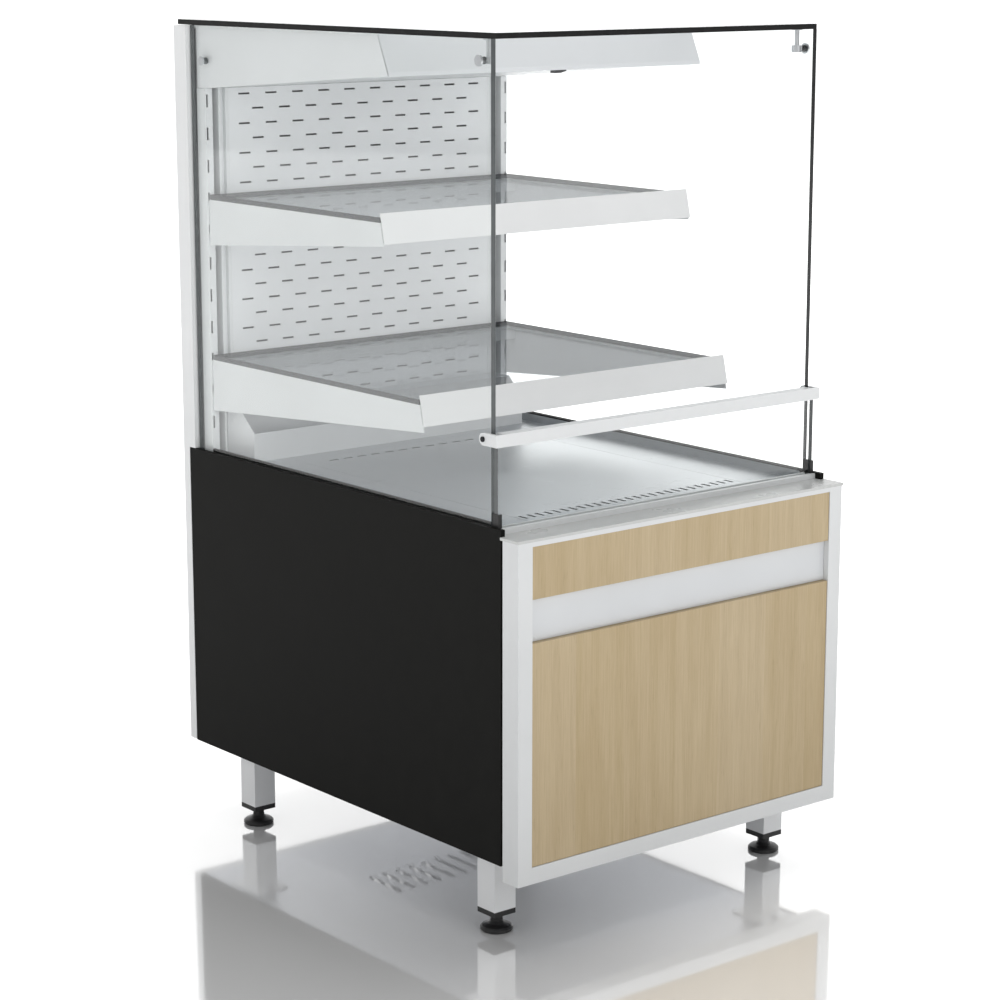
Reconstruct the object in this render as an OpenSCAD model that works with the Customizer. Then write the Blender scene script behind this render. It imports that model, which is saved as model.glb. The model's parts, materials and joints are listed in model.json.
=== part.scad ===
// Hot food display case: free-standing, open at the front, warm deck and two glass shelves.
// Millimetres, +Z up, +X to the right seen from the front, the front faces -Y.
// Origin: centre of the footprint, on the floor. Inside the modules Y is measured from the
// front face of the front frame; place() moves it to the origin.

/* [Body] */
// Width over the side panels
body_w = 650; // [640:1:680]
// Depth from the front frame's face to the rear casing's back
body_d = 860; // [860:1:900]
// Height over the top glass
total_h = 1313; // [1300:1:1360]
// Underside of the side panels
panel_z0 = 127; // [120:1:135]
// Top edge of the side panels
panel_z1 = 624.5; // [620:0.5:626]
// Thickness of the side panels
panel_t = 8; // [6:0.5:8]

/* [Front] */
// Depth of the front frame
frame_d = 35; // [30:1:36]
// Width of the frame's side borders
frame_border = 26; // [22:1:32]
// Underside of the front frame
frame_z0 = 105; // [100:1:110]
// Top of the front frame, under the ledge
frame_z1 = 611; // [606:1:612]
// Height of the recessed strip between the wood panels
strip_h = 63; // [50:1:80]
// Lower edge of the recessed strip
strip_z = 463.5; // [440:0.5:480]
// Thickness of the wood panels
wood_t = 16; // [12:1:16]

/* [Glass] */
// Thickness of the side, front and top panes
glass_t = 8; // [6:0.5:8]
// Front edge of the side panes, from the frame's face
side_glass_y = 70; // [68:1:90]
// Top of the low front pane
front_glass_z1 = 751; // [720:1:780]
// Height of the trim bar on the low front pane
bar_h = 18; // [14:1:24]

/* [Shelves] */
// Which upright slot carries the upper shelf
upper_slot = 8; // [7:1:9]
// Which upright slot carries the lower shelf
lower_slot = 3; // [3:1:5]
// Front edge of the upper shelf's brackets, from the frame's face
upper_front = 341; // [330:1:420]
// Front edge of the lower shelf's brackets, from the frame's face
lower_front = 249; // [240:1:330]
// Distance from slot to slot
slot_pitch = 51.6; // [50:0.1:51.6]
// How far a shelf frame lifts in its slots to unhook
hook_lift = 9; // [8:0.5:9]

/* [Deck] */
// Top of the deck
deck_z = 612; // [606:1:612]
// Half width of the lift-out tray
tray_hw = 217.8; // [180:0.1:230]
// Air slots in the tray
louvre_count = 27; // [15:2:27]
// Distance between the air slots
louvre_pitch = 16; // [12:1:16]

/* [Feet] */
// Height of the leg tube's lower end
leg_z0 = 35; // [32:1:45]
// Side of the square leg tube
leg_w = 40; // [35:1:40]
// Diameter of the foot disc
foot_d = 49; // [40:1:60]

/* [Hidden] */

$fn = 64;
hw = body_w/2;
overhang = 8;                       // top glass behind the casing
y_mid = (body_d + overhang - 1)/2;  // middle of the footprint, ledge nose included
panel_y0 = frame_d + 4.5;
panel_y1 = body_d - 18.5;
pin = hw - panel_t;                 // inner face of the side panels
gin = pin - glass_t;                // inner face of the side glass
top_z = total_h - glass_t;          // underside of the top glass
back_y = body_d - 62;               // front face of the rear wall
leg_x = hw - 47.5;
leg_y = [107, body_d - 127];
post_y = body_d - 35.5;
wood_z0 = frame_z0 + 25;
wood_z1 = frame_z1 - 7;
ledge_z = frame_z1 + 4;
wall_z1 = 1206;                     // top of the rear wall and its uprights
bar_z0 = front_glass_z1 - 11;
bar_z1 = bar_z0 + bar_h;
bracket_x = gin - 2.8;              // outer face of the shelf brackets
slot_z0 = 619.2;
upper_z = slot_z0 + upper_slot*slot_pitch - 1;
lower_z = slot_z0 + lower_slot*slot_pitch - 1;
fan_y = 560;
tray_y0 = 92.7;
tray_y1 = 696.3;
lamp_x = 27;
switch_y = 332.7;
rocker_z = 1251.8;
knob_x = 232;
switch_x = 168;
control_z = 565;
plate_y = body_d - 14;              // face of the recessed control plate
bar_y = 51;                         // front face of the trim bar
bar_screw_y = 81;
conn_y = 95;                        // front glass connectors
gap = 0.1;                          // weld gap between the members of a frame

white = [0.93, 0.94, 0.94];
grey = [0.76, 0.77, 0.78];
black = [0.13, 0.13, 0.12];
oak = [0.78, 0.68, 0.51];
clear = [0.80, 0.88, 0.90, 0.35];
smoke = [0.45, 0.48, 0.50, 0.6];
steel = [0.70, 0.71, 0.72];

module place() translate([0, -y_mid, 0]) children();
module bx(a, b) translate(a) cube(b - a);
module both() { children(); mirror([1, 0, 0]) children(); }
// A profile drawn in Y and Z, drawn out along X from x0 to x1
module along_x(x0, x1) translate([x0, 0, 0]) rotate([90, 0, 90]) linear_extrude(x1 - x0) children();
module rod_x(x0, x1, y, z, r) translate([x0, y, z]) rotate([0, 90, 0]) cylinder(h = x1 - x0, r = r);
module rod_y(y0, y1, x, z, r) translate([x, y0, z]) rotate([-90, 0, 0]) cylinder(h = y1 - y0, r = r);
module at_legs() for (sx = [-1, 1], y = leg_y) translate([sx*leg_x, y, 0]) children();

// ---------- legs and feet ----------
module legs() color(white) place() at_legs() difference() {
  union() {
    translate([-leg_w/2, -leg_w/2, leg_z0]) cube([leg_w, leg_w, panel_z0 - 3 - leg_z0]);
    translate([-30, -38, panel_z0 - 3]) cube([60, 76, 3]);
  }
  translate([-leg_w/2 + 2, -leg_w/2 + 2, leg_z0 - 1]) cube([leg_w - 4, leg_w - 4, panel_z0 - 3 - leg_z0 + 1]);
  for (s = [-1, 1]) translate([0, s*29, panel_z0 - 4]) cylinder(h = 6, r = 3.2);
}

module leg_bolts() color(steel) place() at_legs() for (s = [-1, 1]) translate([0, s*29, 0]) {
  translate([0, 0, panel_z0 - 7]) cylinder(h = 4, r = 5.77, $fn = 6);
  translate([0, 0, panel_z0 - 3.5]) cylinder(h = 12, r = 3);
  translate([0, 0, panel_z0 + 2]) cylinder(h = 5, r = 5.77, $fn = 6);
}

module leg_end_caps() color(black) place() at_legs() difference() {
  union() {
    translate([-leg_w/2, -leg_w/2, leg_z0 - 8]) cube([leg_w, leg_w, 8]);
    translate([-leg_w/2 + 2.2, -leg_w/2 + 2.2, leg_z0 - 0.5]) cube([leg_w - 4.4, leg_w - 4.4, 20.5]);
  }
  translate([0, 0, leg_z0 - 9]) cylinder(h = 32, r = 5.05);
}

// Disc foot, lock nut and plain stem, as one screwed-in piece
module foot(sx, y) color(black) place() translate([sx*leg_x, y, 0]) {
  rotate_extrude() polygon([[0, 0], [foot_d/2 - 2, 0], [foot_d/2, 2], [foot_d/2, 5.5], [foot_d/2 - 2.5, 8],
    [13, 11], [9.5, 14.5], [9.5, 17], [0, 17]]);
  translate([0, 0, 16.5]) cylinder(h = leg_z0 - 25.5, r = 9.8, $fn = 6);
  translate([0, 0, 1]) cylinder(h = leg_z0 + 13, r = 5);
}
module foot_front_left() foot(-1, leg_y[0]);
module foot_front_right() foot(1, leg_y[0]);
module foot_rear_left() foot(-1, leg_y[1]);
module foot_rear_right() foot(1, leg_y[1]);

// ---------- chassis ----------
module tube(a, b, t, dir) difference() {
  bx(a, b);
  bx([for (i = [0:2]) i == dir ? a[i] - 1 : a[i] + t], [for (i = [0:2]) i == dir ? b[i] + 1 : b[i] - t]);
}

module base_frame() color(steel) place() {
  z0 = panel_z0 + 2;
  both() {
    tube([pin - 20.5, frame_d + 6, z0], [pin - 0.5, panel_y1 - 1, z0 + 30], 2, 1);
    tube([pin - 20.5, frame_d + 6, z0 + 30 + gap], [pin - 0.5, frame_d + 26, 570 - gap], 2, 2);
    tube([pin - 20.5, frame_d + 6, 570], [pin - 0.5, panel_y1 - 1, 590], 2, 1);
    tube([pin - 20.5, panel_y1 - 21, z0 + 30 + gap], [pin - 0.5, panel_y1 - 1, 570 - gap], 2, 2);
    tube([pin - 30, post_y - 0.5, 590 + gap], [pin - 12, post_y + 15, top_z - 7], 2, 2);
  }
  for (y = [frame_d + 6, 420, panel_y1 - 21])
    tube([-pin + 20.5 + gap, y, z0], [pin - 20.5 - gap, y + 20, z0 + 30], 2, 0);
  tube([-pin + 20.5 + gap, frame_d + 6, 570], [pin - 20.5 - gap, frame_d + 26, 590], 2, 0);
}

module bottom_plate() color(grey) place() difference() {
  bx([-pin, frame_d + 5, panel_z0], [pin, panel_y1 - 0.5, panel_z0 + 2]);
  at_legs() for (s = [-1, 1]) translate([0, s*29, panel_z0 - 1]) cylinder(h = 4, r = 3.2);
  for (i = [-4:4]) translate([i*28 - 4, 560, panel_z0 - 1]) cube([8, 90, 4]);
}

module side_panel(sx) color(black) place() {
  mirror([sx < 0 ? 1 : 0, 0, 0]) bx([pin, panel_y0, panel_z0], [hw, panel_y1, panel_z1]);
}
module left_side_panel() side_panel(-1);
module right_side_panel() side_panel(1);

// ---------- front ----------
// Two folded stiles, two folded rails between them, and strips that the backing plate rests on
module front_frame() color(white) place() {
  b = frame_border;
  g = 0.04;
  both() difference() {
    bx([hw - b, 0, frame_z0], [hw, frame_d, frame_z1]);
    bx([hw - b + 1.5, 1.5, frame_z0 + 1.5], [hw - 1.5, frame_d + 1, frame_z1 - 1.5]);
  }
  for (z = [[frame_z0, wood_z0], [wood_z1, frame_z1]]) difference() {
    bx([-hw + b + g, 0, z[0]], [hw - b - g, frame_d, z[1]]);
    bx([-hw, 1.5, z[0] + 1.5], [hw, frame_d + 1, z[1] - 1.5]);
  }
  both() bx([hw - b - 10, wood_t + 3, wood_z0 + g], [hw - b - g, wood_t + 4.5, wood_z1 - g]);
  for (z = [wood_z0 + g, wood_z1 - 10])
    bx([-hw + b + 10 + g, wood_t + 3, z], [hw - b - 10 - g, wood_t + 4.5, z + 10 - g]);
}

module front_backing_plate() color(steel) place()
  bx([-hw + frame_border + 0.2, wood_t + 1.5, wood_z0 + 0.2], [hw - frame_border - 0.2, wood_t + 3, wood_z1 - 0.2]);

module wood_panel(z0, z1) color(oak) place()
  bx([-hw + frame_border + 0.5, 1.5, z0], [hw - frame_border - 0.5, 1.5 + wood_t, z1]);
module upper_wood_panel() wood_panel(strip_z + strip_h + 0.5, wood_z1 - 0.5);
module lower_wood_panel() wood_panel(wood_z0 + 0.5, strip_z - 0.5);

module recess_strip() color(white) place()
  along_x(-hw + frame_border + 0.5, hw - frame_border - 0.5) difference() {
    translate([10, strip_z]) square([wood_t - 8.5, strip_h]);
    translate([11.5, strip_z + 1.5]) square([wood_t, strip_h - 3]);
  }

module front_ledge() color(grey) place() {
  bx([-hw - 2, -1, frame_z1], [hw + 2, panel_y0 - 1, ledge_z]);
  bx([-pin + 0.3, panel_y0 - 1.5, frame_z1], [pin - 0.3, 70, ledge_z]);
  bx([-pin + 22, 68.5, 591.5], [pin - 22, 70, ledge_z - 1]);
}

// U profile that holds the low front pane, notched at its ends for the corner clips
module front_glass_channel() color(white) place() difference() {
  bx([-pin + 0.5, 50, ledge_z], [pin - 0.5, 69, ledge_z + 8]);
  bx([-pin, 56.5, ledge_z + 2], [pin, 57.5 + glass_t, ledge_z + 9]);
  both() bx([pin - 7.2, 54.3, ledge_z + 2], [pin + 1, 70, ledge_z + 9]);
}

module front_glass() color(clear) place()
  bx([-pin + 1.5, 57, ledge_z + 2], [pin - 1.5, 57 + glass_t, front_glass_z1]);

module glass_corner_clips() color(black) place() both() difference() {
  bx([pin - 7, 54.5, ledge_z + 2], [pin - 0.2, 67.5, ledge_z + 28]);
  bx([pin - 8, 56.9, ledge_z + 1], [pin - 1.4, 57.1 + glass_t, ledge_z + 30]);
}

// Front trim: a cap over the pane's top edge, with a rounded leg back along each side pane
module front_bar() color(white) place() {
  xo = pin + 6;
  zm = (bar_z0 + bar_z1)/2;
  difference() {
    bx([-xo, bar_y, bar_z0], [xo, 69, bar_z1]);
    bx([-xo - 1, 56.4, bar_z0 - 1], [xo + 1, 57.6 + glass_t, front_glass_z1 + 0.4]);
    both() bx([gin - 1, bar_y + 4, bar_z0 - 1], [xo + 1, 70, bar_z1 + 1]);
  }
  both() difference() {
    union() {
      bx([pin + 1, bar_y + 2, bar_z0], [xo, bar_screw_y, bar_z1]);
      rod_x(pin + 1, xo, bar_screw_y, zm, bar_h/2);
    }
    rod_x(pin, xo + 1, bar_screw_y, zm, 2.6);
  }
}

// Two in the trim bar's legs, eight in the service cover
cover_holes = [for (x = [-235, 0, 235], z = [175, 505]) [x, z], [-235, 340], [235, 340]];
module pan_head_screws() color(steel) place() {
  both() {
    rod_x(pin + 1, pin + 6.2, bar_screw_y, (bar_z0 + bar_z1)/2, 2.5);
    rod_x(pin + 6, pin + 8, bar_screw_y, (bar_z0 + bar_z1)/2, 4);
  }
  for (h = cover_holes) {
    rod_y(body_d - 5, body_d + 2, h[0], h[1], 2.5);
    rod_y(body_d + 1.5, body_d + 3.7, h[0], h[1], 4.5);
  }
}

// ---------- panes ----------
module side_glass(sx) color(clear) place() mirror([sx < 0 ? 1 : 0, 0, 0]) difference() {
  bx([gin, side_glass_y, 592], [pin, back_y + 26, top_z]);
  rod_x(gin - 1, pin + 1, conn_y, top_z - 30, 5.25);
  rod_x(gin - 1, pin + 1, back_y - 6, top_z - 55, 5.25);
}
module left_side_glass() side_glass(-1);
module right_side_glass() side_glass(1);

module side_glass_seals() color(black) place() both() {
  bx([gin - 3.8, 72, 590], [gin - 0.1, back_y - 1, 627]);
  bx([gin - 3.8, side_glass_y, 590], [pin, back_y + 26, 592]);
}

module top_glass() color(clear) place()
  bx([-hw + 13.5, 65, top_z], [hw - 13.5, body_d + overhang, total_h]);

module glass_connectors() color(steel) place() both() {
  // front: bonded plate, rod and round boss under the top pane, pinned through the side pane
  translate([gin - 8.5, conn_y, top_z - 2]) cylinder(h = 2, r = 8);
  translate([gin - 8.5, conn_y, top_z - 26]) cylinder(h = 25, r = 3.5);
  translate([gin - 8.5, conn_y, top_z - 35]) cylinder(h = 10, r = 8);
  rod_x(gin - 8, pin + 0.5, conn_y, top_z - 30, 4);
  rod_x(pin, pin + 3, conn_y, top_z - 30, 8);
  // rear: pinned through the side pane into the canopy's end
  rod_x(gin - 6, pin + 0.5, back_y - 6, top_z - 55, 4);
  rod_x(pin, pin + 3, back_y - 6, top_z - 55, 7);
}

// ---------- warm deck ----------
// Top sheet, the rebate that the tray sits in, and the folded sides
module deck_frame() color(grey) place() {
  // four deck strips round the tray
  bx([-gin + 5.6, 72, deck_z - 1.5], [gin - 5.6, tray_y0 - 0.7, deck_z]);
  bx([-gin + 5.6, tray_y1 + 0.7, deck_z - 1.5], [gin - 5.6, back_y - 1, deck_z]);
  both() bx([tray_hw + 0.7, tray_y0 - 0.7 + gap, deck_z - 1.5], [gin - 5.6, tray_y1 + 0.7 - gap, deck_z]);
  z1 = deck_z - 1.5 - gap;
  both() {
    bx([tray_hw + 0.7, tray_y0 - 2.2, deck_z - 10.5], [tray_hw + 2.2, tray_y1 + 2.2, z1]);
    bx([tray_hw - 12, tray_y0 - 0.7 + gap, deck_z - 10.5], [tray_hw + 0.7 - gap, tray_y1 + 0.7 - gap, deck_z - 9]);
    bx([gin - 5.5, 72, deck_z - 1.5], [gin - 4, back_y - 1, deck_z + 13]);
    bx([gin - 7, 72, 591.5], [gin - 5.5, back_y - 1, z1]);
  }
  for (y = [tray_y0 - 2.2, tray_y1 + 0.7])
    bx([-tray_hw - 0.7 + gap, y, deck_z - 10.5], [tray_hw + 0.7 - gap, y + 1.5, z1]);
  for (y = [tray_y0 - 0.7 + gap, tray_y1 - 12])
    bx([-tray_hw + 12 + gap, y, deck_z - 10.5], [tray_hw - 12 - gap, y + 12.7 - gap, deck_z - 9]);
  bx([-gin + 7 + gap, 72, 591.5], [gin - 7 - gap, 73.5, z1]);
}

module deck_tray() color(grey) place() {
  z1 = deck_z - 1.5 - gap;
  both() bx([tray_hw - 1.5, tray_y0, deck_z - 9], [tray_hw, tray_y1, z1]);
  for (y = [tray_y0, tray_y1 - 1.5]) bx([-tray_hw + 1.5 + gap, y, deck_z - 9], [tray_hw - 1.5 - gap, y + 1.5, z1]);
  difference() {
    bx([-tray_hw, tray_y0, deck_z - 1.5], [tray_hw, tray_y1, deck_z]);
    for (i = [-(louvre_count - 1)/2 : (louvre_count - 1)/2])
      bx([i*louvre_pitch - 2.6, 121, deck_z - 3], [i*louvre_pitch + 2.6, 141, deck_z + 1]);
    // return-air slots and a finger hole, under the shelves
    for (i = [-6:6]) bx([i*28 - 9, 655, deck_z - 3], [i*28 + 9, 661, deck_z + 1]);
  }
}

module warm_air_pan() color(steel) place() difference() {
  union() {
    bx([-pin + 22, 75, 500], [pin - 22, back_y - 3, 501.5]);
    both() bx([pin - 23.5, 75, 501.5 + gap], [pin - 22, back_y - 3, 590 - gap]);
    both() bx([gin - 16, 75, 590], [gin - 5, back_y - 3, 591.5]);
    for (y = [75, back_y - 4.5]) bx([-pin + 23.5 + gap, y, 501.5 + gap], [pin - 23.5 - gap, y + 1.5, 590 - gap]);
  }
  translate([0, fan_y, 499]) cylinder(h = 4, r = 15);
  for (s = [-1, 1]) rod_y(back_y - 6, back_y - 2, s*110, 575, 7.1);
}

module insulation_boards() color([0.85, 0.80, 0.62]) place() {
  difference() {
    bx([-pin + 30, 80, 470], [pin - 30, back_y - 8, 499.5]);
    translate([0, fan_y, 469]) cylinder(h = 32, r = 60);
  }
  bx([-pin + 32, back_y + 26, deck_z], [pin - 32, back_y + 40, wall_z1 - 6]);
}

// Upstand at the back of the deck: front wall, end plates and a top, open along its slant
riser = [[back_y - 77, deck_z], [back_y - 77, deck_z + 47], [back_y - 41, deck_z + 80], [back_y - 1, deck_z + 80], [back_y - 1, deck_z]];
module rear_riser_duct() color(grey) place() difference() {
  along_x(-280, 280) polygon(riser);
  along_x(-278.5, 278.5) polygon([[back_y - 75.5, deck_z - 1], [back_y - 75.5, deck_z + 46.5],
    [back_y - 85, deck_z + 47], [back_y - 48, deck_z + 86], [back_y - 41, deck_z + 78.5],
    [back_y, deck_z + 78.5], [back_y, deck_z - 1]]);
}

// ---------- rear wall ----------
row_pitch = 23.6;
module perforated_back_panel() color(grey) place() {
  translate([0, back_y + 1.5, 0]) rotate([90, 0, 0]) linear_extrude(1.5) difference() {
    translate([-265, deck_z]) square([530, wall_z1 - deck_z]);
    for (r = [0:21]) let (n = r % 2 == 0 ? 10 : 9)
      for (i = [0:n - 1]) translate([(i - (n - 1)/2)*52.2 - 11, wall_z1 - 11.5 - r*row_pitch]) square([22, 3]);
  }
  both() bx([263.5, back_y + 1, deck_z], [265, back_y + 22, wall_z1]);
}

module slotted_upright(sx) color(white) place() mirror([sx < 0 ? 1 : 0, 0, 0]) difference() {
  bx([gin - 13.5, back_y, deck_z], [gin - 0.5, back_y + 23.9, wall_z1]);
  bx([gin - 12, back_y + 1.5, deck_z - 1], [gin - 2, back_y + 25, wall_z1 + 1]);
  for (k = [1:11]) bx([bracket_x - 2.6, back_y - 1, slot_z0 + k*slot_pitch - 10], [bracket_x + 0.6, back_y + 3, slot_z0 + k*slot_pitch + 10]);
}
module left_slotted_upright() slotted_upright(-1);
module right_slotted_upright() slotted_upright(1);

module air_slot_profiles() color(white) place() both() {
  bx([280.4, back_y, deck_z], [284, back_y + 23.9, wall_z1]);
  bx([269.5, back_y + 8, deck_z], [281, back_y + 9.5, wall_z1]);
  bx([269.5, back_y, deck_z], [271, back_y + 9, wall_z1]);
  bx([265.3, back_y, deck_z], [270, back_y + 1.5, wall_z1]);
}

module rear_inner_plate() color([0.35, 0.36, 0.37]) place()
  bx([-gin + 0.5, back_y + 24, deck_z], [gin - 0.5, back_y + 25.5, top_z - 6]);

module rear_casing() color(white) place() {
  g = 0.04;
  zs = panel_z1 + 1;
  y1 = body_d - 1.5;
  // upper cover: back, sides, front flanges, header, top and the strips over the side panels
  bx([-hw, y1, zs + g], [hw, body_d, top_z - 1]);
  both() {
    bx([hw - 1.5, back_y + 28, zs], [hw, y1 - g, top_z - 1]);
    bx([pin - 8, back_y + 28, zs], [hw - 1.5 - g, back_y + 29.5, top_z - 6]);
    bx([pin + 0.5, back_y + 29.5 + g, zs], [hw - 1.5 - g, panel_y1 + 2, zs + 1.5]);
  }
  bx([-hw + 1.5 + g, back_y + 28, top_z - 6 + g], [hw - 1.5 - g, back_y + 29.5, top_z - 1]);
  bx([-hw + 1.5 + g, back_y + 29.5 + g, top_z - 2.5], [hw - 1.5 - g, y1 - g, top_z - 1]);
  // lower cover: back with its openings, sides and bottom return
  difference() {
    bx([-hw, y1, panel_z0 + 1], [hw, body_d, zs - g]);
    bx([-230, body_d - 3, 185], [230, body_d + 1, 495]);
    bx([139, body_d - 3, control_z - 29], [265, body_d + 1, control_z + 29]);
    rod_y(body_d - 3, body_d + 1, -200, 152, 8.1);
    for (h = cover_holes) rod_y(body_d - 3, body_d + 1, h[0], h[1], 2.6);
  }
  both() bx([hw - 1.5, panel_y1 + 1, panel_z0 + 1], [hw, y1 - g, zs - g]);
  bx([-hw + 1.5 + g, panel_y1 + 1, panel_z0 + 1], [hw - 1.5 - g, y1 - g, panel_z0 + 2.5]);
}

module service_cover() color(white) place()
  translate([0, body_d + 1.5, 0]) rotate([90, 0, 0]) linear_extrude(1.5) difference() {
    translate([-245, 165]) square([490, 350]);
    for (zr = [205, 225, 245, 265, 425, 445, 465], i = [-2:2]) translate([i*84 - 34, zr]) square([68, 6]);
    for (h = cover_holes) translate(h) circle(r = 2.6);
  }

// ---------- canopy and lamp ----------
function under(y) = 1245 - (y - 318)*(38.5/480);
module canopy_housing() color(grey) place() difference() {
  union() {
    both() along_x(gin - 3, gin - 1.5) polygon([[342.5, top_z - 2], [back_y + 23.5, top_z - 2],
      [back_y + 23.5, wall_z1 + 0.5], [798, wall_z1 + 0.5], [318, 1245]]);
    xi = gin - 3 - gap;
    along_x(-xi, xi) polygon([[342.5, top_z - 2], [back_y + 23.5, top_z - 2], [back_y + 23.5, top_z - 3.5], [341.9, top_z - 3.5]]);
    bx([-xi, back_y + 22, wall_z1 + 0.5], [xi, back_y + 23.5, top_z - 3.5 - gap]);
    bx([-xi, 798 + gap, wall_z1 + 0.5], [xi, back_y + 22 - gap, wall_z1 + 2]);
    along_x(-xi, xi) polygon([[318, 1245], [798, wall_z1 + 0.5], [798, wall_z1 + 2], [318.6, 1246.5]]);
  }
  bx([-285, 347, 1200], [285, 424, 1260]);
  switch_hole();
  both() rod_x(gin - 5, gin, back_y - 6, top_z - 55, 4.2);
}

module switch_hole() bx([lamp_x - 13.4, switch_y - 6.1, 1235], [lamp_x + 13.4, switch_y + 6.1, 1250]);

// Folded sheet that closes the housing's front, with a lip back under its floor
module canopy_fascia() color(white) place() difference() {
  along_x(-gin + 1.5, gin - 1.5) polygon([[339.5, top_z - 1.5], [315.5, 1250], [314.3, under(314.3) - 1.5],
    [342, under(342) - 1.5], [342, under(342) - 0.05], [316, under(316) - 0.05], [317.2, 1249.7], [341.3, top_z - 1.5]]);
  switch_hole();
}

module lamp_diffuser() color([0.96, 0.97, 0.95, 0.7]) place() along_x(-290, 290)
  polygon([[342, under(342) + 1.7], [430, under(430) + 1.7], [430, under(430) + 4.7], [360, under(360) + 4.7], [342, under(342) + 4.7]]);

module lamp_tube() color([0.97, 0.97, 0.94]) place() union() {
  rod_x(-270, 270, 385, 1266, 8);
  for (s = [-1, 1]) rod_x(s > 0 ? 270 : -274, s > 0 ? 274 : -270, 385, 1266, 1.2);
}

module lamp_holders() color(white) place() both() difference() {
  bx([270.2, 373, 1249], [290, 397, 1301.4]);
  rod_x(269, 276, 385, 1266, 1.4);
}

module lamp_switch_body() color(black) place() difference() {
  bx([lamp_x - 15.5, switch_y - 7.5, 1246.6], [lamp_x + 15.5, switch_y + 7.5, 1262]);
  bx([lamp_x - 13.4, switch_y - 5.7, 1240], [lamp_x + 13.4, switch_y + 5.7, 1259]);
  rod_y(switch_y - 9, switch_y + 9, lamp_x, rocker_z, 1.55);
}

module lamp_switch_rocker() color([0.3, 0.3, 0.3]) place() translate([lamp_x, switch_y, rocker_z]) rotate([0, -7, 0]) {
  translate([0, 5.3, 0]) rotate([90, 0, 0]) linear_extrude(10.6)
    polygon([[-11.5, -12.3], [-11.5, -3], [-4, 2.5], [4, 2.5], [11.5, -3], [11.5, -12.3], [0, -13.6]]);
  rod_y(-7.2, 7.2, 0, 0, 1.5);
}

// ---------- shelves ----------
// Two tapering brackets hooked into the uprights, welded to a front and a rear cross bar
module shelf_frame(z0, yf, hf, hr) color(white) place() {
  both() {
    along_x(bracket_x - 2, bracket_x) polygon([[back_y - 1.5, z0], [yf, z0], [yf - 0.24*hf, z0 - hf], [back_y - 1.5, z0 - hr]]);
    bx([bracket_x - 16, yf + 1, z0 - 1.5], [bracket_x - 1, back_y - 7, z0]);
    for (k = [0, 1]) let (zb = z0 - 9 - k*slot_pitch) {
      bx([bracket_x - 2, back_y - 2, zb], [bracket_x, back_y + 6, zb + 7.9]);
      bx([bracket_x - 2, back_y + 2, zb - 7], [bracket_x, back_y + 6, zb + 7.9]);
    }
  }
  bx([-bracket_x + 1, yf, z0 - 1.5], [bracket_x - 1, yf + 26, z0]);
  bx([-bracket_x + 1, yf, z0 - 24], [bracket_x - 1, yf + 1.5, z0]);
  bx([-bracket_x + 1, back_y - 30, z0 - 1.5], [bracket_x - 1, back_y - 8, z0]);
  bx([-bracket_x + 1, back_y - 30, z0 - 20], [bracket_x - 1, back_y - 28.5, z0]);
}

module price_rail(z0, yf) color(white) place() difference() {
  along_x(-bracket_x, bracket_x)
    polygon([[yf - 0.6, z0 + 14], [yf - 11.4, z0 - 31], [yf - 4, z0 - 31.5], [yf - 4, z0 - 30], [yf - 9.1, z0 - 29.3],
      [yf - 4.6, z0 - 8], [yf, z0 - 8], [yf, z0 - 6.5], [yf - 4.2, z0 - 6.5], [yf + 0.7, z0 + 12.6], [yf + 1.1, z0 + 14]]);
  // notches for the brackets' front edges
  both() along_x(bracket_x - 2.3, bracket_x + 1)
    polygon([[yf - 0.1, z0 + 0.3], [yf + 20, z0 + 0.3], [yf + 20, z0 - 60], [yf - 14.5, z0 - 60]]);
}

module shelf_glass(z0, yf) color(smoke) place()
  bx([-bracket_x + 0.3, yf + 2, z0], [bracket_x - 0.3, back_y - 4, z0 + glass_t]);

module upper_shelf_frame() shelf_frame(upper_z, upper_front, 34, 73);
module upper_price_rail() price_rail(upper_z, upper_front);
module upper_shelf_glass() shelf_glass(upper_z, upper_front);
module lower_shelf_frame() shelf_frame(lower_z, lower_front, 40, 83);
module lower_price_rail() price_rail(lower_z, lower_front);
module lower_shelf_glass() shelf_glass(lower_z, lower_front);

// ---------- heating ----------
module heater_element() color([0.45, 0.42, 0.40]) place() {
  translate([0, 380, 575]) rotate([0, 0, 180]) rotate_extrude(angle = 180) translate([110, 0]) circle(r = 4.25, $fn = 32);
  for (s = [-1, 1]) {
    rod_y(380, back_y - 2, s*110, 575, 4.25);
    rod_y(back_y - 14, back_y - 1, s*110, 575, 7);
  }
}

module fan_rotor() color(steel) place() translate([0, fan_y, 0]) {
  difference() {
    union() {
      translate([0, 0, 520]) cylinder(h = 2, r = 90);
      translate([0, 0, 520]) cylinder(h = 28, r = 14);
    }
    translate([0, 0, 519]) cylinder(h = 40, r = 4.05);
  }
  difference() {
    translate([0, 0, 556]) cylinder(h = 2, r = 90);
    translate([0, 0, 555]) cylinder(h = 4, r = 66);
  }
  for (i = [0:23]) rotate([0, 0, i*15]) translate([66, 0, 521]) rotate([0, 0, -35]) translate([0, -0.8, 0]) cube([23, 1.6, 36]);
}

module fan_motor() color([0.35, 0.35, 0.36]) place() translate([0, fan_y, 0]) {
  translate([0, 0, 440]) cylinder(h = 56, r = 38);
  translate([0, 0, 495]) cylinder(h = 5, r = 55);
  translate([0, 0, 499]) cylinder(h = 50, r = 4);
}

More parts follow.
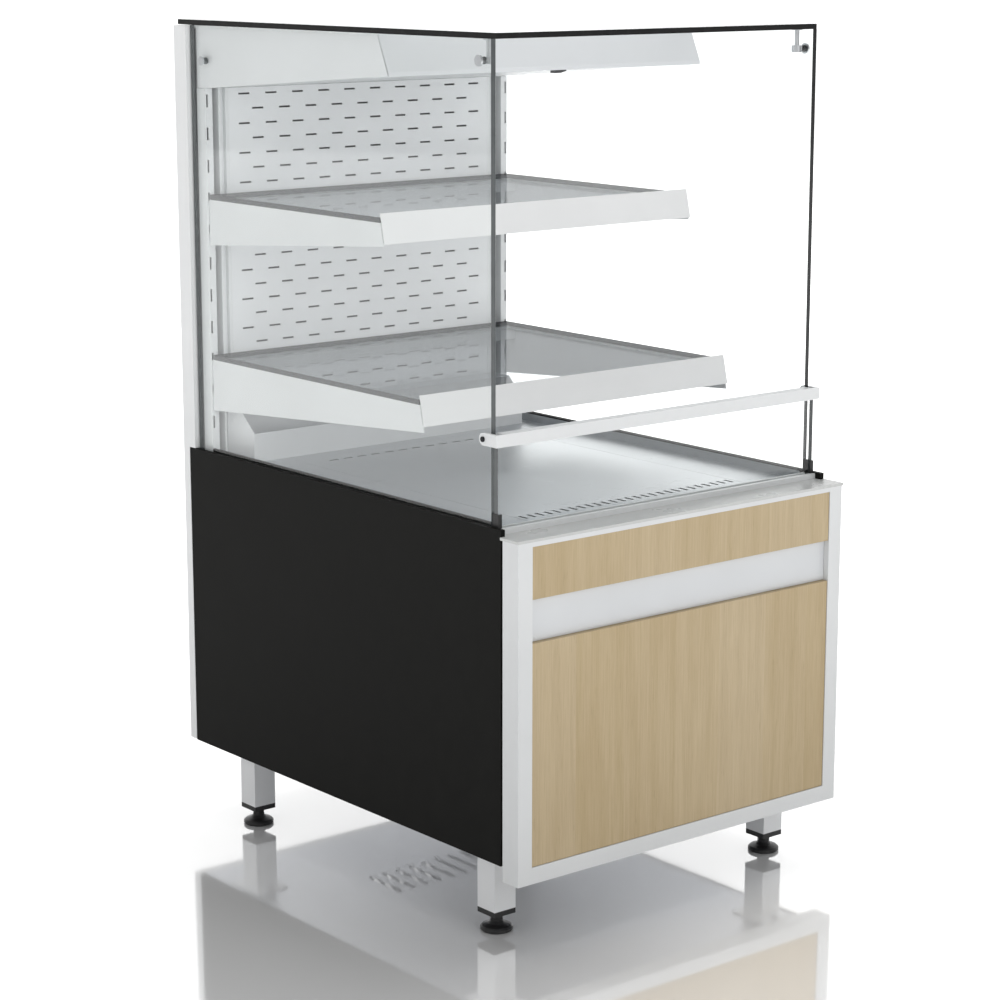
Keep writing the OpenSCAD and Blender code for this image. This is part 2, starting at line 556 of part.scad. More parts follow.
// ---------- controls, on a recessed plate at the back ----------
module control_box() color(black) place() difference() {
  union() {
    bx([138, back_y + 2, control_z - 30], [266, body_d - 1.5, control_z + 30]);
    bx([128, body_d - 3, control_z - 38], [276, body_d - 1.5, control_z + 38]);
  }
  bx([140, back_y + 4, control_z - 28], [264, plate_y - 2, control_z + 28]);
  bx([140, plate_y, control_z - 28], [264, body_d, control_z + 28]);
  rod_y(plate_y - 3, plate_y + 1, knob_x, control_z, 3.05);
  bx([switch_x - 11.5, plate_y - 3, control_z - 15.5], [switch_x + 11.5, plate_y + 1, control_z + 15.5]);
}

module thermostat_knob() color(black) place() difference() {
  union() {
    rod_y(plate_y + 0.5, plate_y + 4, knob_x, control_z, 20);
    rod_y(plate_y + 3.5, plate_y + 19, knob_x, control_z, 17);
    rod_y(plate_y - 12, plate_y + 1, knob_x, control_z, 3);
  }
  bx([knob_x - 1, plate_y + 17.5, control_z + 4], [knob_x + 1, plate_y + 20, control_z + 18]);
}

module main_switch_body() color(black) place() difference() {
  union() {
    bx([switch_x - 11.4, plate_y - 18, control_z - 15.4], [switch_x + 11.4, plate_y + 0.5, control_z + 15.4]);
    bx([switch_x - 13.5, plate_y, control_z - 17.5], [switch_x + 13.5, plate_y + 1.5, control_z + 17.5]);
  }
  bx([switch_x - 9, plate_y - 15, control_z - 13.4], [switch_x + 9, plate_y + 3, control_z + 13.4]);
  rod_x(switch_x - 11, switch_x + 11, plate_y - 4, control_z, 1.55);
}

module main_switch_rocker() color([0.75, 0.1, 0.08]) place() translate([0, plate_y - 4, control_z]) rotate([-8, 0, 0]) {
  along_x(switch_x - 8.6, switch_x + 8.6) polygon([[-2.5, -4.5], [2, -12], [7, -12], [5.6, 0], [7, 12], [2, 12], [-2.5, 4.5]]);
  rod_x(switch_x - 10.7, switch_x + 10.7, 0, 0, 1.5);
}

module cable_gland() color(black) place() difference() {
  union() {
    rod_y(body_d - 12, body_d + 1, -200, 152, 8);
    translate([-200, body_d, 152]) rotate([-90, 0, 0]) cylinder(h = 5, r = 12, $fn = 6);
    rod_y(body_d + 4, body_d + 8, -200, 152, 9.5);
    translate([-200, body_d - 7.5, 152]) rotate([-90, 0, 0]) cylinder(h = 6, r = 12, $fn = 6);
  }
  rod_y(body_d - 13, body_d + 9, -200, 152, 4.5);
}

legs();
leg_bolts();
leg_end_caps();
foot_front_left();
foot_front_right();
foot_rear_left();
foot_rear_right();
base_frame();
bottom_plate();
left_side_panel();
right_side_panel();
front_frame();
front_backing_plate();
upper_wood_panel();
lower_wood_panel();
recess_strip();
front_ledge();
front_glass_channel();
front_glass();
front_bar();
pan_head_screws();
glass_corner_clips();
left_side_glass();
right_side_glass();
side_glass_seals();
top_glass();
glass_connectors();
deck_frame();
deck_tray();
warm_air_pan();
insulation_boards();
rear_riser_duct();
perforated_back_panel();
left_slotted_upright();
right_slotted_upright();
air_slot_profiles();
rear_inner_plate();
rear_casing();
service_cover();
canopy_housing();
canopy_fascia();
lamp_diffuser();
lamp_tube();
lamp_holders();
lamp_switch_body();
lamp_switch_rocker();
upper_shelf_frame();
upper_price_rail();
upper_shelf_glass();
lower_shelf_frame();
lower_price_rail();
lower_shelf_glass();
heater_element();
fan_rotor();
fan_motor();
control_box();
thermostat_knob();
main_switch_body();
main_switch_rocker();
cable_gland();
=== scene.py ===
import json
import math

import bmesh
import bpy
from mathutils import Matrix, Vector

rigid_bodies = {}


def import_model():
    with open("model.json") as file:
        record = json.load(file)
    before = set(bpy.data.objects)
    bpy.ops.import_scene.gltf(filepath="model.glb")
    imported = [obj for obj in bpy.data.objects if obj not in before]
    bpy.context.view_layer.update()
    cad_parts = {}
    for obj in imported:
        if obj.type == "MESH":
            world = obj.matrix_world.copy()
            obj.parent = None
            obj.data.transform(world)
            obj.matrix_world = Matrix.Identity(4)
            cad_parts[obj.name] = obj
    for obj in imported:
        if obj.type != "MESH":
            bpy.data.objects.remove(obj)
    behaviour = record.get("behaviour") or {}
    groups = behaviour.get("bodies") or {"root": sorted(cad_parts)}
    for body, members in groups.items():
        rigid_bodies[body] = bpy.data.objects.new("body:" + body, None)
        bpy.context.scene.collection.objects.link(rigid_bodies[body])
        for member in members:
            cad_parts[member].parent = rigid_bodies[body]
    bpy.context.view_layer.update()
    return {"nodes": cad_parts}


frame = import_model()
nodes = frame["nodes"]


# ---------------------------------------------------------------- node helpers
def lin(c):
    """sRGB 0..1 to linear."""
    return tuple(x / 12.92 if x <= 0.04045 else ((x + 0.055) / 1.055) ** 2.4 for x in c[:3])


class Mat:
    """A node material with a Principled shader and short ways to add nodes."""

    def __init__(self, name, color, rough=0.4, metal=0.0, **extra):
        self.m = bpy.data.materials.new(name)
        self.m.use_nodes = True
        self.t = self.m.node_tree
        self.t.nodes.clear()
        self.out = self.t.nodes.new("ShaderNodeOutputMaterial")
        self.p = self.t.nodes.new("ShaderNodeBsdfPrincipled")
        self.t.links.new(self.p.outputs[0], self.out.inputs[0])
        self.set("Base Color", (*lin(color), 1))
        self.set("Roughness", rough)
        self.set("Metallic", metal)
        for k, v in extra.items():
            self.set(k.replace("_", " "), v)
        self.m.diffuse_color = (*lin(color), 1)

    def set(self, socket, value):
        if isinstance(value, bpy.types.NodeSocket):
            self.t.links.new(value, self.p.inputs[socket])
        else:
            self.p.inputs[socket].default_value = value

    def node(self, kind, props=None, **inputs):
        n = self.t.nodes.new("ShaderNode" + kind)
        for k, v in (props or {}).items():
            setattr(n, k, v)
        for k, v in inputs.items():
            self.put(n, k, v)
        return n

    def put(self, n, key, v):
        sock = n.inputs[int(key[1:])] if key[0] == "i" and key[1:].isdigit() else n.inputs[key.replace("_", " ")]
        if isinstance(v, bpy.types.NodeSocket):
            self.t.links.new(v, sock)
        else:
            sock.default_value = v

    def coord(self, which="Object"):
        return self.node("TexCoord").outputs[which]

    def mapping(self, vec, scale=(1, 1, 1), loc=(0, 0, 0), rot=(0, 0, 0)):
        n = self.node("Mapping", Vector=vec)
        n.inputs["Scale"].default_value = scale
        n.inputs["Location"].default_value = loc
        n.inputs["Rotation"].default_value = rot
        return n.outputs[0]

    def noise(self, vec, scale, detail=3.0, rough=0.5, distortion=0.0):
        n = self.node("TexNoise", Vector=vec, Scale=scale, Detail=detail, Roughness=rough, Distortion=distortion)
        return n.outputs[0]

    def ramp(self, fac, stops, interp="LINEAR"):
        n = self.node("ValToRGB", Fac=fac)
        n.color_ramp.interpolation = interp
        e = n.color_ramp.elements
        while len(e) < len(stops):
            e.new(0.5)
        for x, (pos, col) in zip(e, stops):
            x.position = pos
            x.color = (*col, 1) if len(col) == 3 else col
        return n.outputs[0]

    def maprange(self, v, a, b, c, d, clamp=True):
        n = self.node("MapRange", {"clamp": clamp}, Value=v)
        for k, x in zip(("From Min", "From Max", "To Min", "To Max"), (a, b, c, d)):
            n.inputs[k].default_value = x
        return n.outputs[0]

    def math(self, op, a, b=0.0, c=None):
        n = self.node("Math", {"operation": op}, i0=a, i1=b)
        if c is not None:
            self.put(n, "i2", c)
        return n.outputs[0]

    def mix(self, fac, a, b, blend="MIX"):
        n = self.node("Mix", {"data_type": "RGBA", "blend_type": blend})
        for i, v in ((0, fac), (6, a), (7, b)):
            if isinstance(v, bpy.types.NodeSocket):
                self.t.links.new(v, n.inputs[i])
            elif i == 0:
                n.inputs[i].default_value = v
            else:
                n.inputs[i].default_value = (*v, 1) if len(v) == 3 else v
        return n.outputs[2]

    def bump(self, height, strength, distance, normal=None):
        n = self.node("Bump", Height=height)
        n.inputs["Strength"].default_value = strength
        n.inputs["Distance"].default_value = distance
        if normal is not None:
            self.put(n, "Normal", normal)
        return n.outputs[0]

    def edge_mask(self, radius=0.002, width=0.12):
        """1 at a sharp edge, 0 on flat faces: the bevel shader's normal against the true one."""
        b = self.node("Bevel", {"samples": 6})
        b.inputs["Radius"].default_value = radius
        g = self.node("NewGeometry")
        d = self.node("VectorMath", {"operation": "DOT_PRODUCT"}, i0=b.outputs[0], i1=g.outputs["Normal"])
        return self.maprange(d.outputs["Value"], 1.0 - width, 1.0, 1.0, 0.0)


def powder(name, color, rough=0.36, peel=0.35, dirt=0.03, coat=0.0, tex=1.0, spec=0.5):
    """Powder coat: fine orange peel, faint uneven gloss, and sharp edges a touch lighter and shinier, the lighter
    colour a painted highlight.
    """
    m = Mat(name, color, rough)
    v = m.coord()
    fine = m.noise(v, 900.0 * tex, 2.0, 0.55)
    mid = m.noise(v, 260.0 * tex, 2.0, 0.5)
    cloud = m.noise(v, 5.5, 4.0, 0.55)
    h = m.math("ADD", m.math("MULTIPLY", fine, 0.45), m.math("MULTIPLY", mid, 0.55))
    m.set("Normal", m.bump(h, peel, 0.00035))
    base = lin(color)
    dark = tuple(c * (1 - dirt) for c in base)
    lite = tuple(min(1, c * (1 + dirt * 0.6)) for c in base)
    col = m.mix(m.maprange(cloud, 0.3, 0.7, 0, 1), dark, lite)
    edge = m.edge_mask(0.0012)
    # painted highlight: sharp edges get a lighter colour
    painted_edge_highlight = tuple(min(1.0, c * 1.10 + 0.012) for c in base)
    col = m.mix(m.math("MULTIPLY", edge, 0.35), col, painted_edge_highlight)
    m.set("Base Color", col)
    r = m.maprange(m.noise(v, 18.0, 3.0, 0.6), 0.3, 0.7, rough - 0.05, rough + 0.06)
    m.set("Roughness", m.math("SUBTRACT", r, m.math("MULTIPLY", edge, 0.08)))
    m.set("Coat Weight", coat)
    m.set("Coat Roughness", 0.12)
    m.set("Specular IOR Level", spec)
    return m


def brushed(name, color, rough=0.28, axis=0, strength=0.25, spangle=False):
    """Sheet or turned steel: long fine grain along one axis, or zinc spangle."""
    m = Mat(name, color, rough, 1.0)
    v = m.coord()
    base = lin(color)
    if spangle:
        n = m.node("TexVoronoi", {"feature": "F1"}, Vector=v)
        n.inputs["Scale"].default_value = 110.0
        cell = m.node("SeparateColor", Color=n.outputs["Color"]).outputs[0]
        soft = m.noise(v, 40.0, 3.0, 0.6)
        f = m.math("ADD", m.math("MULTIPLY", cell, 0.7), m.math("MULTIPLY", soft, 0.3))
        m.set("Base Color", m.mix(f, tuple(c * 0.80 for c in base), tuple(min(1, c * 1.12) for c in base)))
        m.set("Roughness", m.maprange(f, 0, 1, rough - 0.06, rough + 0.10))
        m.set("Normal", m.bump(f, 0.10, 0.0002))
    else:
        s = [60.0, 60.0, 60.0]
        s[axis] = 2.0
        g = m.noise(m.mapping(v, tuple(s)), 22.0, 5.0, 0.7)
        cloud = m.noise(v, 9.0, 3.0, 0.5)
        m.set("Base Color", m.mix(g, tuple(c * 0.86 for c in base), tuple(min(1, c * 1.08) for c in base)))
        m.set("Roughness", m.math("ADD", m.maprange(g, 0.3, 0.7, rough - 0.05, rough + 0.08), m.maprange(cloud, 0.3, 0.7, -0.02, 0.03)))
        m.set("Normal", m.bump(g, strength, 0.00015))
        m.set("Anisotropic", 0.5)
    return m


def moulded(name, color, rough=0.45, grain=0.3, scale=700.0):
    """Moulded plastic: a fine spark-eroded texture and slightly shinier rubbed edges, their lighter colour a painted
    highlight.
    """
    m = Mat(name, color, rough)
    v = m.coord()
    n = m.noise(v, scale, 3.0, 0.6)
    cloud = m.noise(v, 30.0, 3.0, 0.5)
    base = lin(color)
    edge = m.edge_mask(0.0009)
    col = m.mix(m.maprange(cloud, 0.3, 0.7, 0, 1), tuple(c * 0.88 for c in base), tuple(min(1, c * 1.10 + 0.002) for c in base))
    # painted highlight: edges lighter in colour
    col = m.mix(m.math("MULTIPLY", edge, 0.5), col, tuple(min(1, c * 1.5 + 0.012) for c in base))
    m.set("Base Color", col)
    m.set("Roughness", m.math("SUBTRACT", m.maprange(cloud, 0.3, 0.7, rough - 0.04, rough + 0.06), m.math("MULTIPLY", edge, 0.12)))
    m.set("Normal", m.bump(n, grain, 0.0002))
    return m


def oak(name, seed):
    """Oak-print laminate: vertical grain in boards about 100 mm wide, with a cathedral figure, pores and darker rays."""
    m = Mat(name, (0.80, 0.70, 0.53), 0.42)
    v = m.coord()
    sep = m.node("SeparateXYZ", Vector=v)
    x, z = sep.outputs[0], sep.outputs[2]
    # boards of uneven width
    wob = m.math("MULTIPLY", m.noise(m.mapping(v, (9.0, 0.0, 0.0), (seed, 0, 0)), 1.0, 1.0), 0.05)
    board = m.math("FLOOR", m.math("MULTIPLY", m.math("ADD", x, wob), 10.5))
    rnd = m.node("TexWhiteNoise", {"noise_dimensions": "2D"})
    comb = m.node("CombineXYZ", X=board, Y=seed)
    m.t.links.new(comb.outputs[0], rnd.inputs["Vector"])
    rv, rc = rnd.outputs["Value"], rnd.outputs["Color"]
    shift = m.node("VectorMath", {"operation": "SCALE"}, i0=rc)
    shift.inputs["Scale"].default_value = 7.0
    vb = m.node("VectorMath", {"operation": "ADD"}, i0=v, i1=shift.outputs[0]).outputs[0]
    # slow bending of the grain
    bend = m.noise(m.mapping(vb, (3.2, 3.2, 0.9)), 2.4, 2.0, 0.5)
    bend2 = m.noise(m.mapping(vb, (9.0, 9.0, 1.6)), 3.0, 2.0, 0.5)
    u = m.math("ADD", m.math("MULTIPLY", m.node("SeparateXYZ", Vector=vb).outputs[0], 70.0),
               m.math("ADD", m.math("MULTIPLY", bend, 5.0), m.math("MULTIPLY", bend2, 1.2)))
    ring = m.math("SINE", m.math("MULTIPLY", u, 2.3))
    ring = m.maprange(ring, -1, 1, 0, 1)
    ring = m.math("POWER", ring, 2.2)
    # fine straight fibres and pores
    fib = m.noise(m.mapping(vb, (420.0, 420.0, 7.0)), 1.0, 3.0, 0.6)
    fib2 = m.noise(m.mapping(vb, (1400.0, 1400.0, 26.0)), 1.0, 2.0, 0.6)
    pore = m.noise(m.mapping(vb, (760.0, 760.0, 34.0)), 1.0, 2.0, 0.5)
    pore = m.maprange(pore, 0.62, 0.74, 0, 1)
    cloud = m.noise(m.mapping(vb, (6.0, 6.0, 2.0)), 2.0, 3.0, 0.5)
    light, midc, dark, deep = (lin((0.800, 0.725, 0.585)), lin((0.765, 0.685, 0.540)), lin((0.690, 0.600, 0.445)), lin((0.56, 0.465, 0.33)))
    col = m.mix(m.maprange(cloud, 0.3, 0.7, 0, 1), light, midc)
    col = m.mix(m.math("MULTIPLY", ring, 0.20), col, dark)
    col = m.mix(m.maprange(fib, 0.35, 0.75, 0.0, 0.42), col, dark)
    col = m.mix(m.maprange(fib2, 0.45, 0.75, 0.0, 0.22), col, deep)
    col = m.mix(m.math("MULTIPLY", pore, m.maprange(ring, 0, 1, 0.10, 0.40)), col, deep)
    # each board a little lighter or darker
    tone = m.node("HueSaturation", Color=col)
    m.put(tone, "Value", m.maprange(rv, 0, 1, 0.955, 1.035))
    m.put(tone, "Saturation", m.maprange(rv, 0, 1, 1.04, 0.94))
    # painted shade: the panel edges darken toward the deep tone, for the shadow gaps around the panels
    edge = m.edge_mask(0.0010)
    col = m.mix(m.math("MULTIPLY", edge, 0.35), tone.outputs[0], deep)
    m.set("Base Color", col)
    m.set("Roughness", m.maprange(fib, 0.3, 0.7, 0.38, 0.52))
    h = m.math("SUBTRACT", m.math("MULTIPLY", fib, 0.5), m.math("MULTIPLY", pore, 0.6))
    m.set("Normal", m.bump(h, 0.30, 0.0002))
    return m


def pane(name, axis, tint=(0.985, 0.992, 0.990), edge_color=(0.20, 0.215, 0.22), veil=0.0, veil_color=(0.9, 0.92, 0.93), rough=0.02,
         reflect=1.0, edge_soft=0.0, body=0.0, body_color=(0.5, 0.52, 0.54)):
    """Flat polished glass. axis is the pane's normal; its narrow edges are opaque in the given edge colour, which on
    most panes is painted shade for the darkening along a long light path.
    """
    m = Mat(name, edge_color, 0.12)
    t = m.t
    nrm = m.node("SeparateXYZ", Vector=m.coord("Normal"))
    n = m.math("ABSOLUTE", nrm.outputs[axis])
    face = m.maprange(n, 0.75, 0.90, 0, 1)
    v = m.coord()
    # faces: clear with a tint, a soft body tone, and a fresnel reflection with faint uneven polish
    clear = m.node("BsdfTransparent")
    clear.inputs["Color"].default_value = (*tint, 1)
    film = m.node("BsdfDiffuse")
    film.inputs["Color"].default_value = (*lin(body_color), 1)
    haze = m.noise(v, 3.0, 4.0, 0.6)
    mixb = m.node("MixShader", i1=clear.outputs[0], i2=film.outputs[0])
    m.put(mixb, "i0", m.maprange(haze, 0.2, 0.8, body * 0.92, body * 1.08, False))
    gl = m.node("BsdfGlossy")
    gl.inputs["Color"].default_value = (1, 1, 1, 1)
    smear = m.noise(m.mapping(v, (1, 1, 0.5)), 7.0, 4.0, 0.6)
    m.put(gl, "Roughness", m.maprange(smear, 0.35, 0.75, rough, rough + 0.05))
    back = m.node("NewGeometry").outputs["Backfacing"]
    fres = m.node("Fresnel")
    m.put(fres, "IOR", m.maprange(back, 0, 1, 1.5, 1 / 1.5))
    f = m.math("MULTIPLY", fres.outputs[0], reflect)
    facesh = m.node("MixShader", i1=mixb.outputs[0], i2=gl.outputs[0])
    m.put(facesh, "i0", f)
    last = facesh.outputs[0]
    if veil:
        em = m.node("Emission")
        em.inputs["Color"].default_value = (*veil_color, 1)
        em.inputs["Strength"].default_value = 1.0
        mv = m.node("MixShader", i1=last, i2=em.outputs[0])
        m.put(mv, "i0", m.maprange(haze, 0.2, 0.8, veil * 0.9, veil * 1.1, False))
        last = mv.outputs[0]
    # edges: ground and polished, nearly opaque; their dark colour is painted shade for the long light path, and the top
    # pane's near black is its black edge band
    s = m.noise(v, 60.0, 3.0, 0.6)
    base = lin(edge_color)
    m.set("Base Color", m.mix(s, tuple(c * 0.75 for c in base), tuple(min(1, c * 1.25) for c in base)))
    m.set("Roughness", m.maprange(s, 0.3, 0.7, 0.08, 0.2))
    m.set("Normal", m.bump(s, 0.05, 0.0002))
    edgesh = m.p.outputs[0]
    if edge_soft:
        es = m.node("MixShader", i1=edgesh, i2=clear.outputs[0])
        m.put(es, "i0", m.maprange(s, 0.2, 0.8, edge_soft * 0.8, edge_soft * 1.2))
        edgesh = es.outputs[0]
    mix = m.node("MixShader", i0=face, i1=edgesh, i2=last)
    # shadow rays pass the faces with a light tint
    lp = m.node("LightPath")
    sh = m.node("BsdfTransparent")
    m.put(sh, "Color", m.mix(face, (0.55, 0.57, 0.57), tuple(min(1.0, c * (1 - 0.35 * body)) for c in tint)))
    fin = m.node("MixShader", i0=lp.outputs["Is Shadow Ray"], i1=mix.outputs[0], i2=sh.outputs[0])
    t.links.new(fin.outputs[0], m.out.inputs[0])
    return m


# ---------------------------------------------------------------- materials
WHITE = powder("white_coat", (0.905, 0.912, 0.915), 0.34, 0.25)
FRAME = powder("frame_coat", (0.885, 0.892, 0.895), 0.34, 0.25)
LEG = powder("leg_coat", (0.935, 0.94, 0.945), 0.36, 0.28)
RAIL = powder("rail_coat", (0.955, 0.958, 0.960), 0.36, 0.22)
CASING = powder("casing_coat", (0.930, 0.935, 0.937), 0.38, 0.30)
SILVER = powder("silver_coat", (0.865, 0.875, 0.885), 0.33, 0.28)
LEDGE = powder("ledge_coat", (0.80, 0.805, 0.80), 0.30, 0.25)
DECK = brushed("deck_steel", (0.80, 0.81, 0.82), 0.30, axis=0, strength=0.12)
RISER = powder("riser_coat", (0.90, 0.905, 0.91), 0.36, 0.25)
# painted light: the back panel's coat is a lighter copy of the white coat, to brighten the shaded interior
BACK_PAINTED_LIGHT = powder("back_coat_painted_light", (0.925, 0.93, 0.935), 0.40, 0.25)
CANOPY = powder("canopy_coat", (0.945, 0.95, 0.955), 0.36, 0.25)
# painted shade: the fascia is a darker copy of the canopy's coat, toning down its brightness under the top light
FASCIA_PAINTED_SHADE = powder("fascia_coat_painted_shade", (0.905, 0.915, 0.925), 0.36, 0.25)
BLACK = moulded("black_laminate", (0.100, 0.100, 0.094), 0.62, 0.35, 500.0)
# painted shade: a mid grey on the rear inner plate, standing in for the shade deep inside the rear wall
INNER_SHADE_GREY = powder("dark_coat", (0.50, 0.505, 0.51), 0.55, 0.3)
MOTOR = powder("motor_coat", (0.20, 0.21, 0.22), 0.5, 0.6)
ZINC = brushed("galvanised", (0.72, 0.73, 0.75), 0.36, spangle=True)
BOLT = brushed("zinc_bolt", (0.70, 0.70, 0.72), 0.30, 2, 0.3)
SCREW = brushed("dark_screw", (0.16, 0.16, 0.17), 0.38, 2, 0.3)
FITTING = brushed("steel_fitting", (0.82, 0.83, 0.84), 0.30, 2, 0.2)
HEATER = brushed("heater_steel", (0.30, 0.26, 0.24), 0.50, 1, 0.4)
FAN = brushed("fan_steel", (0.70, 0.71, 0.72), 0.32, spangle=True)
OAK_UP = oak("oak_upper", 3.0)
OAK_LOW = oak("oak_lower", 11.0)
PLASTIC = moulded("black_plastic", (0.115, 0.115, 0.118), 0.42, 0.35)
KNOB = moulded("knob_plastic", (0.10, 0.10, 0.105), 0.36, 0.25)
ROCKER = moulded("grey_plastic", (0.30, 0.30, 0.31), 0.38, 0.25)
RED = moulded("red_plastic", (0.72, 0.10, 0.08), 0.25, 0.08)
HOLDER = moulded("white_plastic", (0.90, 0.90, 0.89), 0.4, 0.2)
OPAL = moulded("opal_plastic", (0.95, 0.955, 0.95), 0.28, 0.15, 300.0)
TUBE = moulded("lamp_tube_glass", (0.97, 0.97, 0.96), 0.12, 0.03, 200.0)
RUBBER = moulded("black_rubber", (0.12, 0.12, 0.12), 0.72, 0.6, 400.0)
BLACK.set("Specular IOR Level", 0.08)

BOARD = Mat("mineral_board", (0.80, 0.76, 0.60), 0.95)
_v = BOARD.coord()
_f = BOARD.noise(BOARD.mapping(_v, (1, 1, 6)), 160.0, 5.0, 0.7)
BOARD.set("Base Color", BOARD.mix(_f, lin((0.66, 0.60, 0.42)), lin((0.86, 0.82, 0.66))))
BOARD.set("Normal", BOARD.bump(_f, 0.9, 0.0015))
BOARD.set("Sheen Weight", 0.3)

SIDE = pane("glass_side", 0, edge_color=(0.34, 0.355, 0.36), reflect=0.9)
FRONT = pane("glass_front", 1, edge_color=(0.34, 0.355, 0.36), reflect=0.9)
TOP = pane("glass_top", 2, edge_color=(0.035, 0.037, 0.04), reflect=0.9)
# painted shade: the right side glass is a copy of the side glass with darker edges
RSIDE_SHADED_EDGE = pane("glass_side_right_shaded_edge", 0, edge_color=(0.12, 0.125, 0.13), reflect=0.9)
SHELF = pane("glass_shelf", 2, tint=(0.80, 0.81, 0.82), edge_color=(0.27, 0.28, 0.29), reflect=0.35)

use = {
    "legs": LEG, "leg_bolts": BOLT, "leg_end_caps": PLASTIC,
    "foot_front_left": PLASTIC, "foot_front_right": PLASTIC, "foot_rear_left": PLASTIC, "foot_rear_right": PLASTIC,
    "base_frame": ZINC, "bottom_plate": ZINC, "left_side_panel": BLACK, "right_side_panel": BLACK,
    "front_frame": FRAME, "front_backing_plate": ZINC, "upper_wood_panel": OAK_UP, "lower_wood_panel": OAK_LOW,
    "recess_strip": SILVER, "front_ledge": LEDGE, "front_glass_channel": WHITE, "front_glass": FRONT, "front_bar": WHITE,
    "pan_head_screws": SCREW, "glass_corner_clips": PLASTIC, "left_side_glass": SIDE, "right_side_glass": RSIDE_SHADED_EDGE,
    "side_glass_seals": RUBBER, "top_glass": TOP, "glass_connectors": FITTING,
    "deck_frame": DECK, "deck_tray": DECK, "warm_air_pan": ZINC, "insulation_boards": BOARD,
    "rear_riser_duct": RISER, "perforated_back_panel": BACK_PAINTED_LIGHT, "left_slotted_upright": WHITE, "right_slotted_upright": WHITE,
    "air_slot_profiles": WHITE, "rear_inner_plate": INNER_SHADE_GREY, "rear_casing": CASING, "service_cover": CASING,
    "canopy_housing": CANOPY, "canopy_fascia": FASCIA_PAINTED_SHADE, "lamp_diffuser": OPAL, "lamp_tube": TUBE, "lamp_holders": HOLDER,
    "lamp_switch_body": PLASTIC, "lamp_switch_rocker": ROCKER,
    "upper_shelf_frame": WHITE, "upper_price_rail": RAIL, "upper_shelf_glass": SHELF,
    "lower_shelf_frame": WHITE, "lower_price_rail": RAIL, "lower_shelf_glass": SHELF,
    "heater_element": HEATER, "fan_rotor": FAN, "fan_motor": MOTOR,
    "control_box": PLASTIC, "thermostat_knob": KNOB, "main_switch_body": PLASTIC, "main_switch_rocker": RED, "cable_gland": PLASTIC,
}
for name, m in use.items():
    o = nodes[name]
    if not o.data.materials:
        o.data.materials.append(m.m)
    for i in range(len(o.material_slots)):
        o.material_slots[i].material = m.m


# ---------------------------------------------------------------- bevels on the CAD nodes
def bevel(name, width, segments=2):
    o = nodes[name]
    b = o.modifiers.new("edge_bevel", "BEVEL")
    b.width = width
    b.segments = segments
    b.limit_method = "ANGLE"
    b.angle_limit = math.radians(35)
    b.harden_normals = False
    b.use_clamp_overlap = True
    b.miter_outer = "MITER_ARC"


for name in ("left_side_panel", "right_side_panel"):
    bevel(name, 0.0008)
for name in ("upper_wood_panel", "lower_wood_panel"):
    bevel(name, 0.0005)
for name in ("left_side_glass", "right_side_glass", "front_glass", "top_glass", "upper_shelf_glass", "lower_shelf_glass"):
    bevel(name, 0.0006, 1)

# ---------------------------------------------------------------- stage
floor_mesh = bpy.data.meshes.new("floor")
bm = bmesh.new()
# a floor that curves up into a backdrop behind the object
prof = [(-9.0, 0.0)]
prof += [(5.5 + 2.5 * math.sin(a), 2.5 - 2.5 * math.cos(a)) for a in [math.radians(9 * k) for k in range(11)]]
prof += [(8.0, 9.0)]
fwd = Vector((0.6188, 0.7576, 0.0)).normalized()
side = Vector((fwd.y, -fwd.x, 0.0))
rows = []
for d, z in prof:
    rows.append([bm.verts.new(fwd * d + side * s + Vector((0, 0, z))) for s in (-14.0, 14.0)])
for a, b in zip(rows, rows[1:]):
    bm.faces.new((a[0], a[1], b[1], b[0]))
bm.to_mesh(floor_mesh)
bm.free()
floor = bpy.data.objects.new("floor", floor_mesh)
bpy.context.scene.collection.objects.link(floor)
for p in floor_mesh.polygons:
    p.use_smooth = True
FLOOR = Mat("floor_mat", (0.985, 0.985, 0.985), 0.10)
_v = FLOOR.coord()
_n = FLOOR.noise(_v, 2.0, 3.0)
FLOOR.set("Roughness", FLOOR.maprange(_n, 0.3, 0.7, 0.07, 0.11))
FLOOR.set("IOR", 1.75)
# the studio floor brightens to plain white away from the object
_xyz = FLOOR.node("SeparateXYZ", Vector=_v)
_r = FLOOR.math("SQRT", FLOOR.math("ADD", FLOOR.math("POWER", _xyz.outputs[0], 2.0), FLOOR.math("POWER", _xyz.outputs[1], 2.0)))
FLOOR.set("Emission Color", (1, 1, 1, 1))
FLOOR.set("Emission Strength", FLOOR.maprange(_r, 1.05, 1.7, 0.0, 1.30))
_gl = FLOOR.node("BsdfGlossy")
_gl.inputs["Color"].default_value = (1, 1, 1, 1)
FLOOR.put(_gl, "Roughness", FLOOR.maprange(_n, 0.3, 0.7, 0.05, 0.08))
_mx = FLOOR.node("MixShader", i1=FLOOR.p.outputs[0], i2=_gl.outputs[0])
_mx.inputs[0].default_value = 0.42
_out = next(n for n in FLOOR.t.nodes if n.type == "OUTPUT_MATERIAL")
FLOOR.t.links.new(_mx.outputs[0], _out.inputs["Surface"])
floor_mesh.materials.append(FLOOR.m)


# ---------------------------------------------------------------- lights
def area(name, at, to, size, power, color=(1, 1, 1), size_y=None):
    d = bpy.data.lights.new(name, "AREA")
    d.energy = power
    d.color = color
    d.size = size
    if size_y:
        d.shape = "RECTANGLE"
        d.size_y = size_y
    o = bpy.data.objects.new(name, d)
    bpy.context.scene.collection.objects.link(o)
    o.location = at
    o.rotation_euler = (Vector(to) - Vector(at)).to_track_quat("-Z", "Y").to_euler()
    return o


def only(light, names):
    """Let a light reach only the named nodes and objects."""
    c = bpy.data.collections.new(light.name + "_on")
    for n in names:
        c.objects.link(nodes[n] if n in nodes else bpy.data.objects[n])
    light.light_linking.receiver_collection = c


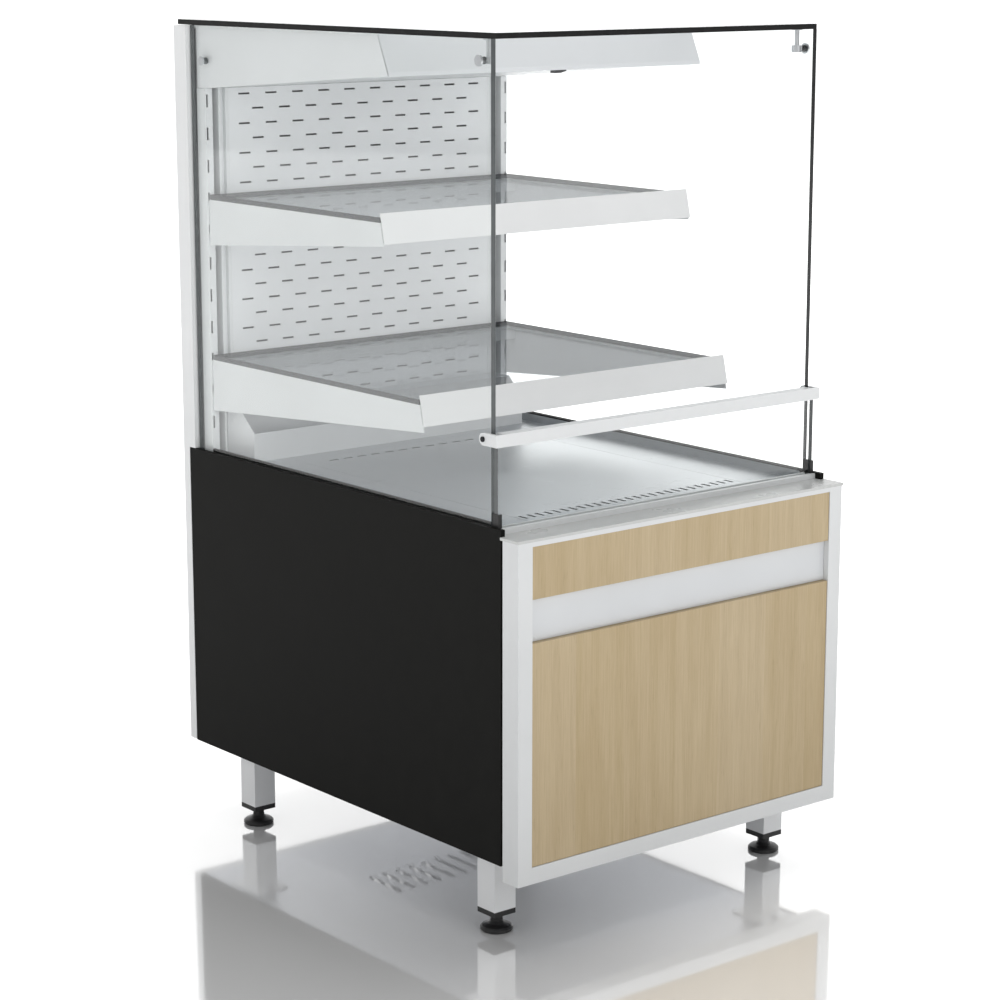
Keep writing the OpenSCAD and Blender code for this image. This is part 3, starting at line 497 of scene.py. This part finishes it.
area("key", (-0.6, -4.6, 2.6), (0, 0, 0.8), 2.6, 34)
area("left_fill", (-4.5, -0.4, 2.6), (0, 0, 1.1), 2.5, 16)
area("right_fill", (4.5, -1.0, 2.4), (0, 0, 0.8), 2.5, 10)
area("top", (0.2, 0.2, 4.8), (0, 0, 0), 3.0, 20)
inside = ("perforated_back_panel", "left_slotted_upright", "right_slotted_upright", "air_slot_profiles", "rear_inner_plate",
          "rear_riser_duct", "deck_tray", "deck_frame")
only(area("inside_fill", (-0.9, -3.2, 1.25), (0, 0.1, 0.95), 1.6, 33), inside)
only(area("deck_card", (1.9, 1.9, 1.15), (0.1, 0, 0.61), 1.6, 2), ("deck_tray", "deck_frame"))
only(area("floor_wash", (0.9, 0.5, 4.2), (0, 0, 0), 2.6, 95), ("floor",))

w = bpy.data.worlds.new("studio")
w.use_nodes = True
bpy.context.scene.world = w
bg = w.node_tree.nodes["Background"]
bg.inputs[0].default_value = (1.0, 1.0, 1.0, 1)
bg.inputs[1].default_value = 0.70
lp = w.node_tree.nodes.new("ShaderNodeLightPath")
mr = w.node_tree.nodes.new("ShaderNodeMapRange")
mr.inputs["To Min"].default_value = 0.44
mr.inputs["To Max"].default_value = 1.1
w.node_tree.links.new(lp.outputs["Is Camera Ray"], mr.inputs["Value"])
w.node_tree.links.new(mr.outputs[0], bg.inputs[1])

# ---------------------------------------------------------------- camera
cam_d = bpy.data.cameras.new("camera")
cam_d.lens = 95.54
cam_d.sensor_width = 36.0
cam_d.clip_end = 100
cam = bpy.data.objects.new("camera", cam_d)
bpy.context.scene.collection.objects.link(cam)
cam.location = (-2.6283, -3.2127, 1.4422)
cam.rotation_euler = Vector((0.6188, 0.7576, -0.2079)).to_track_quat("-Z", "Y").to_euler()
bpy.context.scene.camera = cam

try:
    bpy.context.scene.view_settings.view_transform = "Standard"
    bpy.context.scene.view_settings.look = "None"
except TypeError:
    pass

cyc = bpy.context.scene.cycles
cyc.transparent_max_bounces = 40
cyc.max_bounces = 12
cyc.use_denoising = True
